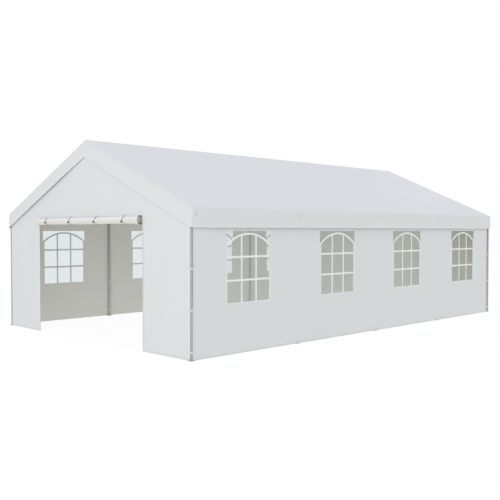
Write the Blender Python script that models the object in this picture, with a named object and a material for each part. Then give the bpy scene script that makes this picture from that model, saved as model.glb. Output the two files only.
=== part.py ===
"""White party marquee: ten steel posts and five roof arches under a white sheet cover.

The arches stand one bay apart, joined by tubes along the eaves, the slopes and the ridge.
The cover has two slopes and a valance all round. Each side wall is one sheet with four clear
windows. The front end has an open doorway with its door sheet rolled up above it, and the
back end is closed.

+X is the right side seen from the front, the front faces -Y, and +Z is up. The origin is on
the ground, in the middle of everything the marquee covers.
"""

import math

import bmesh
import bpy
from mathutils import Matrix, Vector

# Driving dimensions, in metres
WIDTH = 5.0
LENGTH = 8.1
BAYS = 4
INNER_BAY = 1.99
EAVE_HEIGHT = 2.0
RIDGE_HEIGHT = 3.1
EAVE_OVERHANG = 0.043
GABLE_OVERHANG = 0.030
VALANCE_DEPTH = 0.25
POST_RADIUS = 0.021
RAIL_RADIUS = 0.019
SLEEVE_RADIUS = 0.0205
ARM_LENGTH = 0.08
SLEEVE_LENGTH = 0.06
SLOPE_PURLIN_X = 1.25
FOOT_SIDE = 0.09
FOOT_CORNER = 0.015
FOOT_THICKNESS = 0.003
SHEET = 0.003
FILM = 0.001
WALL_TOP = 1.955
SIDE_WALL_ENDS = (-4.04, 3.96)
FRONT_SHEET_ENDS = (-2.445, 2.5)
DOOR_EDGES = (-1.43, 1.475)
WINDOW_START = {"left": 0.648, "right": 0.619}
WINDOW_PITCH = 1.991
WINDOW_WIDTH = 0.82
WINDOW_BOTTOM = 0.7105
WINDOW_TOP = 1.6946
WINDOWS = 4
FILM_MARGIN = 0.03
ROLL_RADIUS = 0.06
ROLL_Z = 1.855
ROLL_ENDS = (-1.425, 1.44)
GAP = 0.0003

# How finely the round pieces are faceted
POST_SIDES = 16
ARM_SIDES = 12
TUBE_BEVEL = 4
ROLL_BEVEL = 8
CORNER_SEGMENTS = 3

# Lines that follow from them
HALF_WIDTH = WIDTH / 2
HALF_LENGTH = LENGTH / 2
ARCHES = BAYS + 1
FOLD_X = HALF_WIDTH + EAVE_OVERHANG
FRONT_Y = HALF_LENGTH + GABLE_OVERHANG
PITCH = math.atan2(RIDGE_HEIGHT - EAVE_HEIGHT, FOLD_X)
STUB_X = FOLD_X - SHEET - GAP - POST_RADIUS * math.sin(PITCH)
FILM_INNER = POST_RADIUS + GAP
SIDE_WALL_INNER = FILM_INNER + FILM + GAP
END_WALL_INNER = POST_RADIUS + GAP
WALL_BOTTOM = FOOT_THICKNESS + GAP
DOOR_TOP = ROLL_Z + ROLL_RADIUS
ROLL_Y = HALF_LENGTH + END_WALL_INNER + SHEET / 2
FRONT_REACH = ROLL_Y + ROLL_RADIUS
BACK_REACH = HALF_LENGTH + FOOT_SIDE / 2

AXIS_X = Vector((1, 0, 0))
AXIS_Y = Vector((0, 1, 0))
AXIS_Z = Vector((0, 0, 1))
SIDES = {"left": -1, "right": 1}


def cover_z(x, depth=0.0):
    """Height of the cover at x, or of a surface that lies depth under it."""
    return RIDGE_HEIGHT - abs(x) * math.tan(PITCH) - depth / math.cos(PITCH)


def frame_z(x):
    """Height of the rafters' centre line at x: their fittings touch the cover from below."""
    return cover_z(x, SHEET + GAP + POST_RADIUS)


def arch_y(index):
    """Place of an arch along the marquee, from 0 at the front. The end bays are a bit longer."""
    inner = (index - BAYS / 2) * INNER_BAY
    return {0: -HALF_LENGTH, BAYS: HALF_LENGTH}.get(index, inner)


def on_rafter(x, y, distance=0.0):
    """A point on a rafter's centre line at x, or a distance further up from there."""
    side = math.copysign(1, x)
    x -= side * distance * math.cos(PITCH)
    return x, y, frame_z(x)


def clear_scene():
    for old in list(bpy.data.objects):
        bpy.data.objects.remove(old, do_unlink=True)


def collection(name):
    made = bpy.data.collections.new(name)
    bpy.context.scene.collection.children.link(made)
    return made


def material(name, colour, roughness, metallic=0.0, alpha=1.0):
    finish = bpy.data.materials.new(name)
    finish.use_nodes = True
    shader = finish.node_tree.nodes["Principled BSDF"]
    shader.inputs["Base Color"].default_value = (*colour, 1.0)
    shader.inputs["Roughness"].default_value = roughness
    shader.inputs["Metallic"].default_value = metallic
    shader.inputs["Alpha"].default_value = alpha
    return finish


def add(name, data, finish):
    """Puts a finished shape in the marquee, as one named piece."""
    piece = bpy.data.objects.new(name, data)
    data.materials.append(finish)
    marquee.objects.link(piece)
    piece.parent = ground_centre
    return piece


def tube(name, start, end, radius, finish, bevel_resolution=TUBE_BEVEL):
    """A straight tube between two points, closed at its ends."""
    curve = bpy.data.curves.new(name, "CURVE")
    curve.dimensions = "3D"
    curve.bevel_depth = radius
    curve.bevel_resolution = bevel_resolution
    curve.use_fill_caps = True
    spline = curve.splines.new("POLY")
    spline.points.add(1)
    for point, place in zip(spline.points, (start, end)):
        point.co = (*place, 1.0)
    return add(name, curve, finish)


def flat_shape(name, outlines, thickness, finish, turn, place):
    """A flat shape of one thickness, in local XY. Outlines inside the first are its holes."""
    curve = bpy.data.curves.new(name, "CURVE")
    curve.dimensions = "2D"
    curve.fill_mode = "BOTH"
    curve.extrude = thickness / 2
    for outline in outlines:
        spline = curve.splines.new("POLY")
        spline.points.add(len(outline) - 1)
        for point, (x, y) in zip(spline.points, outline):
            point.co = (x, y, 0.0, 1.0)
        spline.use_cyclic_u = True
    piece = add(name, curve, finish)
    piece.matrix_local = Matrix.Translation(place) @ turn.to_4x4()
    return piece


# Local XY turned to face along the marquee's length, or out of one of its sides
ACROSS = Matrix((AXIS_X, AXIS_Z, -AXIS_Y)).transposed()
ALONG = Matrix((AXIS_Y, AXIS_Z, AXIS_X)).transposed()


def rectangle(low_x, high_x, low_y, high_y):
    return [(low_x, low_y), (high_x, low_y), (high_x, high_y), (low_x, high_y)]


def under_cover(x):
    """Height of the top edge of an end sheet at x."""
    return cover_z(x, SHEET + GAP)


def fitting_part(name, shape):
    """A closed shape as an object of its own, ready to be welded to others."""
    mesh = bpy.data.meshes.new(name)
    shape.to_mesh(mesh)
    shape.free()
    part = bpy.data.objects.new(name, mesh)
    fitting_parts.objects.link(part)
    return part


def arm(start, end, radius, side, sides=ARM_SIDES, turn=0.0):
    """A straight round arm. One of its corners faces the side direction, less the turn."""
    start = Vector(start)
    run = Vector(end) - start
    forward = run.normalized()
    axes = Matrix((side, forward.cross(side), forward)).transposed()
    place = Matrix.Translation(start + run / 2) @ axes.to_4x4() @ Matrix.Rotation(turn, 4, "Z")
    shape = bmesh.new()
    bmesh.ops.create_cone(
        shape,
        cap_ends=True,
        segments=sides,
        radius1=radius,
        radius2=radius,
        depth=run.length,
        matrix=place,
    )
    return fitting_part("arm", shape)


def foot_plate(x, y):
    """A square plate with rounded corners."""
    shape = bmesh.new()
    place = Matrix.Translation((x, y, FOOT_THICKNESS / 2))
    size = Matrix.Diagonal((FOOT_SIDE, FOOT_SIDE, FOOT_THICKNESS, 1.0))
    bmesh.ops.create_cube(shape, size=1.0, matrix=place @ size)
    upright = [
        edge for edge in shape.edges
        if abs(edge.verts[0].co.z - edge.verts[1].co.z) > FOOT_THICKNESS / 2
    ]
    bmesh.ops.bevel(
        shape,
        geom=upright,
        offset=FOOT_CORNER,
        segments=CORNER_SEGMENTS,
        profile=0.5,
        affect="EDGES",
    )
    return fitting_part("plate", shape)


def weld(parts):
    """One closed mesh from parts that overlap. The parts are used up."""
    base = parts[0]
    for other in parts[1:]:
        union = base.modifiers.new("weld", "BOOLEAN")
        union.operation = "UNION"
        union.object = other
    bpy.context.view_layer.update()
    mesh = bpy.data.meshes.new_from_object(
        base.evaluated_get(bpy.context.evaluated_depsgraph_get())
    )
    for part in parts:
        bpy.data.objects.remove(part, do_unlink=True)
    return mesh


def make_posts(finish):
    """Each post stands on a foot plate and ends in the fitting that its rafter goes into.

    The fitting's arm stands out past the post and just touches the valance.
    """
    top = frame_z(HALF_WIDTH)
    for side, sign in SIDES.items():
        x = sign * HALF_WIDTH
        for index in range(ARCHES):
            y = arch_y(index)
            base, inside_fitting = (x, y, FOOT_THICKNESS / 2), (x, y, top - POST_RADIUS / 2)
            inner_end, outer_end = on_rafter(x, y, ARM_LENGTH), on_rafter(sign * STUB_X, y)
            parts = [
                arm(base, inside_fitting, POST_RADIUS, AXIS_X, POST_SIDES),
                foot_plate(x, y),
                arm(inner_end, outer_end, POST_RADIUS, AXIS_Y),
            ]
            add(f"post_{side}_{index + 1}", weld(parts), finish)


def make_arches(finish):
    """The two rafters of each arch and the ridge fitting that holds them."""
    clear = ARM_LENGTH + GAP
    for index in range(ARCHES):
        y = arch_y(index)
        peak = (0.0, y, frame_z(0.0))
        parts = []
        for sign in SIDES.values():
            arm_reach = sign * ARM_LENGTH * math.cos(PITCH)
            foot = on_rafter(sign * HALF_WIDTH, y, clear)
            parts += [
                arm(peak, on_rafter(arm_reach, y), POST_RADIUS, AXIS_Y),
                arm(on_rafter(arm_reach / 2, y), foot, RAIL_RADIUS, AXIS_Y),
            ]
        add(f"arch_{index + 1}", weld(parts), finish)


def make_bay_tubes(name, x, finish):
    """One tube in each bay. A sleeve on each end slides over a stub of the arch's fitting."""
    z = frame_z(x)
    half_facet = math.pi / ARM_SIDES

    def along(start, end, radius):
        return arm((x, start, z), (x, end, z), radius, AXIS_X, turn=half_facet)

    for index in range(BAYS):
        start = arch_y(index) + POST_RADIUS + GAP
        end = arch_y(index + 1) - POST_RADIUS - GAP
        parts = [
            along(start, start + SLEEVE_LENGTH, SLEEVE_RADIUS),
            along(start + SLEEVE_LENGTH / 2, end - SLEEVE_LENGTH / 2, RAIL_RADIUS),
            along(end - SLEEVE_LENGTH, end, SLEEVE_RADIUS),
        ]
        add(f"{name}_{index + 1}", weld(parts), finish)


def make_slope_purlins(finish):
    """A tube half-way up each slope, bolted under all the rafters."""
    below = 2 * RAIL_RADIUS + GAP
    z = frame_z(SLOPE_PURLIN_X) - below * math.cos(PITCH)
    reach = HALF_LENGTH + RAIL_RADIUS / 2
    for side, sign in SIDES.items():
        x = sign * (SLOPE_PURLIN_X - below * math.sin(PITCH))
        tube(f"{side}_slope_purlin", (x, -reach, z), (x, reach, z), RAIL_RADIUS, finish)


def make_cover(finish):
    """Two slopes that meet at the ridge, and the valance that hangs from their edges."""
    inner_fold = FOLD_X - SHEET
    slope_end = inner_fold - GAP
    covered = FRONT_Y - SHEET - GAP
    low_edge = EAVE_HEIGHT - VALANCE_DEPTH
    for side, sign in SIDES.items():
        slope = [
            (sign * GAP / 2, cover_z(0.0)),
            (sign * slope_end, cover_z(slope_end)),
            (sign * slope_end, cover_z(slope_end, SHEET)),
            (sign * GAP / 2, cover_z(0.0, SHEET)),
        ]
        flat_shape(f"roof_{side}", [slope], 2 * covered, finish, ACROSS, (0, 0, 0))
        near, far = sorted((sign * inner_fold, sign * FOLD_X))
        hanging = rectangle(near, far, low_edge, EAVE_HEIGHT)
        flat_shape(f"{side}_valance", [hanging], 2 * covered, finish, ACROSS, (0, 0, 0))
    gable_edge = [
        (-FOLD_X, low_edge),
        (0.0, RIDGE_HEIGHT - VALANCE_DEPTH),
        (FOLD_X, low_edge),
        (FOLD_X, EAVE_HEIGHT),
        (0.0, RIDGE_HEIGHT),
        (-FOLD_X, EAVE_HEIGHT),
    ]
    for end, toward in (("front", -1), ("back", 1)):
        place = (0, toward * (FRONT_Y - SHEET / 2), 0)
        flat_shape(f"{end}_valance", [gable_edge], SHEET, finish, ACROSS, place)


def make_side_walls(sheet_finish, film_finish):
    """A sheet outside the posts with four windows, closed by clear film behind the sheet."""
    for side, sign in SIDES.items():
        first = WINDOW_START[side] - HALF_LENGTH
        outline = rectangle(*SIDE_WALL_ENDS, WALL_BOTTOM, WALL_TOP)
        openings = []
        for index in range(WINDOWS):
            low = first + index * WINDOW_PITCH
            openings.append(rectangle(low, low + WINDOW_WIDTH, WINDOW_BOTTOM, WINDOW_TOP))
        place = (sign * (HALF_WIDTH + SIDE_WALL_INNER + SHEET / 2), 0, 0)
        flat_shape(f"{side}_wall", [outline, *openings], SHEET, sheet_finish, ALONG, place)
        film = rectangle(
            first - FILM_MARGIN,
            low + WINDOW_WIDTH + FILM_MARGIN,
            WINDOW_BOTTOM - FILM_MARGIN,
            WINDOW_TOP + FILM_MARGIN,
        )
        place = (sign * (HALF_WIDTH + FILM_INNER + FILM / 2), 0, 0)
        flat_shape(f"{side}_window_film", [film], FILM, film_finish, ALONG, place)


def make_front(finish):
    """A sheet over the open doorway, one on each side of it, and the rolled-up door.

    The roll hangs in the doorway, right under the sheet above it.
    """
    low_x, high_x = FRONT_SHEET_ENDS
    gable = [
        (low_x, DOOR_TOP + GAP),
        (high_x, DOOR_TOP + GAP),
        (high_x, under_cover(high_x)),
        (0.0, under_cover(0.0)),
        (low_x, under_cover(low_x)),
    ]
    place = (0, -HALF_LENGTH - END_WALL_INNER - SHEET / 2, 0)
    flat_shape("front_gable", [gable], SHEET, finish, ACROSS, place)
    for side, ends in {"left": (low_x, DOOR_EDGES[0]), "right": (DOOR_EDGES[1], high_x)}.items():
        panel = rectangle(*ends, WALL_BOTTOM, DOOR_TOP)
        flat_shape(f"front_panel_{side}", [panel], SHEET, finish, ACROSS, place)
    start, end = ((x, -ROLL_Y, ROLL_Z) for x in ROLL_ENDS)
    tube("rolled_door", start, end, ROLL_RADIUS, finish, ROLL_BEVEL)


def make_back(finish):
    """One sheet with a doorway, and the door sheet zipped shut in it."""
    door_low_x, door_high_x = DOOR_EDGES
    wall = [
        (door_high_x, WALL_BOTTOM),
        (HALF_WIDTH, WALL_BOTTOM),
        (HALF_WIDTH, under_cover(HALF_WIDTH)),
        (0.0, under_cover(0.0)),
        (-HALF_WIDTH, under_cover(HALF_WIDTH)),
        (-HALF_WIDTH, WALL_BOTTOM),
        (door_low_x, WALL_BOTTOM),
        (door_low_x, DOOR_TOP),
        (door_high_x, DOOR_TOP),
    ]
    place = (0, HALF_LENGTH + END_WALL_INNER + SHEET / 2, 0)
    flat_shape("back_wall", [wall], SHEET, finish, ACROSS, place)
    door = rectangle(door_low_x + GAP, door_high_x - GAP, WALL_BOTTOM, DOOR_TOP - GAP)
    flat_shape("back_door", [door], SHEET, finish, ACROSS, place)


clear_scene()
marquee = collection("party_marquee")
fitting_parts = collection("fitting_parts")
fitting_parts.hide_render = True
ground_centre = bpy.data.objects.new("ground_centre", None)
ground_centre.location = (0, (FRONT_REACH - BACK_REACH) / 2, 0)
marquee.objects.link(ground_centre)

steel = material("galvanised_steel", (0.52, 0.53, 0.54), 0.42, metallic=0.9)
white_sheet = material("white_sheeting", (0.83, 0.85, 0.86), 0.55)
clear_film = material("clear_film", (0.82, 0.87, 0.89), 0.12, alpha=0.35)

make_posts(steel)
make_arches(steel)
make_bay_tubes("left_eave_tube", -HALF_WIDTH, steel)
make_bay_tubes("right_eave_tube", HALF_WIDTH, steel)
make_bay_tubes("ridge_tube", 0.0, steel)
make_slope_purlins(steel)
make_cover(white_sheet)
make_side_walls(white_sheet, clear_film)
make_front(white_sheet)
make_back(white_sheet)
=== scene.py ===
# %% [markdown]
# # A white party marquee
# The real object is a light steel frame under coated white sheeting: a ridge roof cover with a
# valance all round, two long walls with four film windows each, an open end whose door sheet is
# rolled up and tied, and a closed end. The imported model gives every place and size, so the
# lesson starts by loading it. Everything modelled here is fitted to it.

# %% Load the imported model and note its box
import math

import bmesh
import bpy
from mathutils import Matrix, Vector, noise


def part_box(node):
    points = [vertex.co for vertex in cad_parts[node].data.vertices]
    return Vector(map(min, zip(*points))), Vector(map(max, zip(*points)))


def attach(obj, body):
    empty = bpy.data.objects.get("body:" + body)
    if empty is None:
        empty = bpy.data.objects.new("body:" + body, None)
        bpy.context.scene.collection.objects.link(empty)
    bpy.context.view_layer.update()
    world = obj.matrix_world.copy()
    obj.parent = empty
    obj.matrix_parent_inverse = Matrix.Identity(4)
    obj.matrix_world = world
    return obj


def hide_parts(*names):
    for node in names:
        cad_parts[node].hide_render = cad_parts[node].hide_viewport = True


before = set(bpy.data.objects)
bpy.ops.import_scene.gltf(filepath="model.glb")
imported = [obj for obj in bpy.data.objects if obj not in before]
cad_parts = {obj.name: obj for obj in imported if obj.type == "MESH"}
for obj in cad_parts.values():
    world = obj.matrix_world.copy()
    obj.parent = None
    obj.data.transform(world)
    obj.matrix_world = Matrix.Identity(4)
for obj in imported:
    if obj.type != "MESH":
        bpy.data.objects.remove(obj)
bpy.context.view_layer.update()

print("nodes in the frame:", len(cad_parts))

# %% [markdown]
# ## Where things are
# The posts stand in two rows of five. Their foot plates are square, so the middle of a post's
# box along the marquee is its axis. The folds of the cover come from the valances and the roof.

# %% Read the main places from the model
POST_X = 2.5
POST_RADIUS = 0.021
SIDES = {"left": -1, "right": 1}
QUARTER = math.radians(90.0)


def middle(part):
    """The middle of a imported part's box."""
    low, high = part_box(part)
    return (Vector(low) + Vector(high)) / 2


ARCHES = [middle(f"post_right_{i}").y for i in range(1, 6)]
FRONT, BACK = ARCHES[0], ARCHES[-1]
MIDDLE_Y = (FRONT + BACK) / 2
FOLD_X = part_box("right_valance")[1][0]
EAVE_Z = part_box("right_valance")[1][2]
HEM_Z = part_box("right_valance")[0][2]
RIDGE_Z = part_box("roof_right")[1][2]
COVER_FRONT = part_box("front_valance")[0][1]
COVER_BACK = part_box("back_valance")[1][1]
SLOPE = (RIDGE_Z - EAVE_Z) / FOLD_X
PITCH = math.atan(SLOPE)
print(f"arches at {[round(y, 3) for y in ARCHES]}, cover from {COVER_FRONT:.3f} to {COVER_BACK:.3f}")

# %% [markdown]
# ## Camera
# The camera stands off the front right corner at eye height, a little below the hem of the
# valance. Its lens and place were worked out from the straight edges of the object.

# %% Make the camera
CAMERA_PLACE = (9.593, -9.9731, 1.698)
CAMERA_TURN = 45.301
CAMERA_TILT = -1.55
FOCAL_PIXELS = 710.39
PICTURE_PIXELS = 500
SENSOR_MM = 36.0

camera_data = bpy.data.cameras.new("camera")
camera_data.sensor_width = SENSOR_MM
camera_data.lens = FOCAL_PIXELS / PICTURE_PIXELS * SENSOR_MM
camera_data.clip_end = 500.0
camera = bpy.data.objects.new("camera", camera_data)
camera.location = CAMERA_PLACE
camera.rotation_euler = (
    math.radians(90.0 + CAMERA_TILT),
    0.0,
    math.radians(CAMERA_TURN),
)
bpy.context.scene.collection.objects.link(camera)
bpy.context.scene.camera = camera
print(f"lens {camera_data.lens:.2f} mm")

# %% [markdown]
# ## Helpers for modelling by hand
# Every new piece starts from a primitive that is added at its place and opened in edit mode.
# Faces and edges are then picked by where they are, which is what a mouse click does.

# %% Start a piece, pick parts of it, cut it
def begin(name, add, place, extent=(1.0, 1.0, 1.0), turn=(0.0, 0.0, 0.0), finishes=(), **settings):
    """Adds one primitive, puts its size and place in its mesh and opens it in edit mode."""
    if bpy.context.mode != "OBJECT":
        bpy.ops.object.mode_set(mode="OBJECT")
    bpy.ops.object.select_all(action="DESELECT")
    add(location=place, rotation=turn, **settings)
    piece = bpy.context.active_object
    piece.name = piece.data.name = name
    piece.scale = extent
    bpy.ops.object.transform_apply(location=True, rotation=True, scale=True)
    for finish in finishes:
        piece.data.materials.append(finish)
    bpy.ops.object.mode_set(mode="EDIT")
    return piece


def pick(piece, kind, test):
    """Selects the faces, edges or points that pass a test, and nothing else."""
    bpy.ops.mesh.select_mode(type=kind)
    bpy.ops.mesh.select_all(action="DESELECT")
    shape = bmesh.from_edit_mesh(piece.data)
    if kind == "FACE":
        chosen = [f for f in shape.faces if test(f.calc_center_median(), f.normal)]
    elif kind == "EDGE":
        chosen = [e for e in shape.edges if test(e.verts[0].co, e.verts[1].co)]
    else:
        chosen = [v for v in shape.verts if test(v.co)]
    for part in chosen:
        part.select = True
    shape.select_flush_mode()
    bmesh.update_edit_mesh(piece.data)
    return len(chosen)


def anywhere(*_):
    return True


def cut(piece, direction, places, where=anywhere):
    """Cuts the faces that pass a test with planes square to a direction."""
    for place in places:
        if pick(piece, "FACE", where):
            bpy.ops.mesh.bisect(plane_co=Vector(direction) * place, plane_no=direction)


def stations(start, end, step):
    """Evenly spaced places strictly between two ends, about a step apart."""
    count = max(1, round(abs(end - start) / step))
    return [start + (end - start) * i / count for i in range(1, count)]


# %% [markdown]
# A sheet's finishes come in pairs, one for its outer face and the next for its inner face, because the back of this
# sheeting is duller; its warmer colour is painted warm light from below. A modifier gives a finished sheet its
# thickness. Then it is smoothed, and it is told which body it moves with.

# %% Finish a piece
def thicken(piece, thickness, backed=True):
    """Gives a sheet its thickness behind its outer face. A backed sheet has a finish for its back."""
    bpy.ops.object.mode_set(mode="OBJECT")
    solid = piece.modifiers.new("thickness", "SOLIDIFY")
    solid.thickness = thickness
    solid.offset = -1.0
    solid.material_offset = 1 if backed else 0
    bpy.ops.object.modifier_apply(modifier="thickness")


def raise_hem(piece, finish_number, test):
    """Pushes the faces of a hem out by one more layer and gives them their own finish."""
    count = pick(piece, "FACE", test)
    bpy.ops.mesh.extrude_region_shrink_fatten(TRANSFORM_OT_shrink_fatten={"value": HEM_PROUD})
    piece.active_material_index = finish_number
    bpy.ops.object.material_slot_assign()
    return count


def dress(piece, smooth_below=35.0):
    """Smooths a finished piece and says which body it belongs to."""
    if bpy.context.mode != "OBJECT":
        bpy.ops.object.mode_set(mode="OBJECT")
    bpy.ops.object.select_all(action="DESELECT")
    piece.select_set(True)
    bpy.context.view_layer.objects.active = piece
    bpy.ops.object.shade_smooth_by_angle(angle=math.radians(smooth_below))
    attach(piece, "root")
    return piece


def join(name, parts):
    """Joins finished parts into one piece."""
    if bpy.context.mode != "OBJECT":
        bpy.ops.object.mode_set(mode="OBJECT")
    bpy.ops.object.select_all(action="DESELECT")
    for part in parts:
        part.select_set(True)
    bpy.context.view_layer.objects.active = parts[0]
    bpy.ops.object.join()
    parts[0].name = parts[0].data.name = name
    return parts[0]


def copy_of(piece, name, move=(0.0, 0.0, 0.0), mirrored=()):
    """A copy with its own mesh, mirrored along the named axes and then moved."""
    twin = piece.copy()
    twin.data = piece.data.copy()
    twin.name = twin.data.name = name
    bpy.context.scene.collection.objects.link(twin)
    for axis in mirrored:
        sizes = [-1.0 if letter == axis else 1.0 for letter in "xyz"]
        twin.data.transform(Matrix.Diagonal((*sizes, 1.0)))
        twin.data.flip_normals()
    twin.data.transform(Matrix.Translation(move))
    return twin


# %% [markdown]
# ## Finishes
# The sheeting is woven plastic tape, coated on both faces. Up close it shows a fine square
# weave, over a metre it shows faint upright streaks and creases from hanging and having been
# folded, and it has a soft gloss. The weave is three waves, one along each axis, so that it
# lies right on walls and roof alike.

# %% Small helpers for node finishes
def node(tree, kind, **values):
    """Adds a node. Values whose name is one of its inputs are set there."""
    made = tree.nodes.new(kind)
    for name, value in values.items():
        label = name.replace("_", " ").title()
        if label in made.inputs:
            made.inputs[label].default_value = value
        else:
            setattr(made, name, value)
    return made


def calc(tree, operation, *values):
    """One step of arithmetic on numbers or on other nodes' outputs."""
    step = node(tree, "ShaderNodeMath", operation=operation)
    for socket, value in zip(step.inputs, values):
        if isinstance(value, bpy.types.NodeSocket):
            tree.links.new(value, socket)
        else:
            socket.default_value = value
    return step.outputs[0]


def blend_colours(tree, share, first, second):
    """Mixes two colours, or nodes' outputs, by a share from 0 to 1."""
    mix = node(tree, "ShaderNodeMix", data_type="RGBA")
    tree.links.new(share, mix.inputs[0])
    for socket, value in ((mix.inputs[6], first), (mix.inputs[7], second)):
        if isinstance(value, bpy.types.NodeSocket):
            tree.links.new(value, socket)
        else:
            socket.default_value = (*value, 1.0)
    return mix.outputs[2]


def map_to(tree, share, low, high):
    """Stretches a share from 0 to 1 to run between two numbers."""
    spread = node(tree, "ShaderNodeMapRange", to_min=low, to_max=high)
    tree.links.new(share, spread.inputs["Value"])
    return spread.outputs[0]


def finish_named(name):
    finish = bpy.data.materials.new(name)
    finish.use_nodes = True
    return finish, finish.node_tree, finish.node_tree.nodes["Principled BSDF"]


# %% [markdown]
# A hem is sewn with two rows of thread. The rows have to follow the hem, so each sheet carries an attribute with two
# numbers at its points: how far along the hem they lie, and how far in from its edge. A second attribute marks where
# the eave fittings press bumps into the sheet, and carries painted shade on those bumps.

# %% The sheeting
WEAVE_SCALE = 125.0
STITCH_ROWS = (0.006, 0.026)
STITCH_LENGTH = 0.007
THREAD = 0.0007


def weave_height(tree, place):
    """The fine square weave, as a height."""
    total = 0.0
    for direction in ("X", "Y", "Z"):
        threads = node(tree, "ShaderNodeTexWave", bands_direction=direction, scale=WEAVE_SCALE)
        tree.links.new(place, threads.inputs["Vector"])
        total = calc(tree, "ADD", threads.outputs["Fac"], total)
    return total


def stitch_mask(tree):
    """One on the stitches of a hem and zero between them."""
    hem = node(tree, "ShaderNodeAttribute", attribute_name="hem")
    split = node(tree, "ShaderNodeSeparateXYZ")
    tree.links.new(hem.outputs["Vector"], split.inputs[0])
    saw = calc(tree, "PINGPONG", split.outputs["X"], STITCH_LENGTH / 2)
    dash = calc(tree, "GREATER_THAN", saw, STITCH_LENGTH * 0.12)
    rows = 0.0
    for depth in STITCH_ROWS:
        rows = calc(tree, "ADD", calc(tree, "COMPARE", split.outputs["Y"], depth, THREAD), rows)
    return calc(tree, "MULTIPLY", dash, rows)


def sheeting(name, light, dark, roughness, stretch=(1.0, 1.0, 1.0), stitched=False, painted_mark=None):
    """Coated woven sheeting between two nearly equal whites, mixed towards painted shade or painted light where an
    attribute says so.
    """
    finish, tree, shader = finish_named(name)
    link = tree.links.new
    place = node(tree, "ShaderNodeTexCoord").outputs["Object"]
    stretched = node(tree, "ShaderNodeMapping", scale=stretch)
    link(place, stretched.inputs["Vector"])
    cloud = node(tree, "ShaderNodeTexNoise", scale=1.7, detail=5.0, roughness=0.62)
    link(stretched.outputs[0], cloud.inputs["Vector"])
    colour = blend_colours(tree, cloud.outputs["Fac"], dark, light)
    link(map_to(tree, cloud.outputs["Fac"], roughness - 0.08, roughness + 0.08), shader.inputs["Roughness"])
    crease = node(tree, "ShaderNodeTexNoise", scale=3.0, detail=5.0, roughness=0.55)
    link(stretched.outputs[0], crease.inputs["Vector"])
    soft = node(tree, "ShaderNodeBump", strength=0.35, distance=0.004)
    link(crease.outputs["Fac"], soft.inputs["Height"])
    fine = weave_height(tree, place)
    if stitched:
        mask = stitch_mask(tree)
        colour = blend_colours(tree, mask, colour, [value * 0.82 for value in dark])
        fine = calc(tree, "ADD", fine, calc(tree, "MULTIPLY", mask, 3.0))
    if painted_mark:
        mark = node(tree, "ShaderNodeAttribute", attribute_name=painted_mark[0])
        colour = blend_colours(tree, mark.outputs["Fac"], colour, painted_mark[1])
    link(colour, shader.inputs["Base Color"])
    weave = node(tree, "ShaderNodeBump", strength=0.25, distance=0.0003)
    link(fine, weave.inputs["Height"])
    link(soft.outputs[0], weave.inputs["Normal"])
    link(weave.outputs[0], shader.inputs["Normal"])
    return finish


UPRIGHT = (1.0, 1.0, 0.22)
# Painted shade: a grey patch on the bumps that the eave fittings press into the valance.
PRESSED_SHADE_MARK = ("pressed_shade", (0.49, 0.51, 0.52))
# Painted light: the roof is the same sheeting as the valance, but bluer, as if lit by the sky.
roof_painted_skylight = sheeting("roof_painted_skylight", (0.651, 0.676, 0.719), (0.627, 0.655, 0.701), 0.50)
valance_white = sheeting("valance_white", (0.650, 0.668, 0.673), (0.626, 0.646, 0.652), 0.50, painted_mark=PRESSED_SHADE_MARK)
valance_hem = sheeting("valance_hem", (0.676, 0.692, 0.697), (0.650, 0.668, 0.674), 0.48, stitched=True)
wall_white = sheeting("wall_white", (0.650, 0.672, 0.677), (0.616, 0.640, 0.646), 0.52, UPRIGHT)
# Painted shade: this hem finish is darker than the wall, for the shade along the foot; the long walls' upright end
# hems carry it too.
wall_hem_shaded = sheeting("wall_hem_shaded", (0.612, 0.630, 0.633), (0.585, 0.604, 0.608), 0.52, stitched=True)
bright_hem = sheeting("bright_hem", (0.735, 0.755, 0.762), (0.705, 0.725, 0.735), 0.45, stitched=True)
# Painted shade: the inner face grows darker and yellower towards the far corner of the closed end.
FAR_CORNER_SHADE = ("far_shade", (0.387, 0.368, 0.255))
# Painted light: the inner face is warmer, as if lit from below.
inner_painted_warm_light = sheeting(
    "inner_painted_warm_light", (0.662, 0.662, 0.624), (0.629, 0.629, 0.592), 0.60, UPRIGHT, painted_mark=FAR_CORNER_SHADE
)
# Painted light: the roll is warm as if lit from below, and lighter and bluer on top as if lit by the sky.
roll_painted_light = sheeting(
    "roll_painted_light", (0.665, 0.665, 0.612), (0.635, 0.635, 0.582), 0.60, painted_mark=("painted_top_light", (0.735, 0.745, 0.785))
)
print("sheeting finishes:", [m.name for m in bpy.data.materials])

# %% [markdown]
# Steel first. The tube is galvanised: its zinc has a faint patchwork of grey crystals, it is
# duller than polished steel, and it darkens a little in streaks. The small fastenings are
# brighter. Cords are a braid and the tie balls are moulded plastic.

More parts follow.
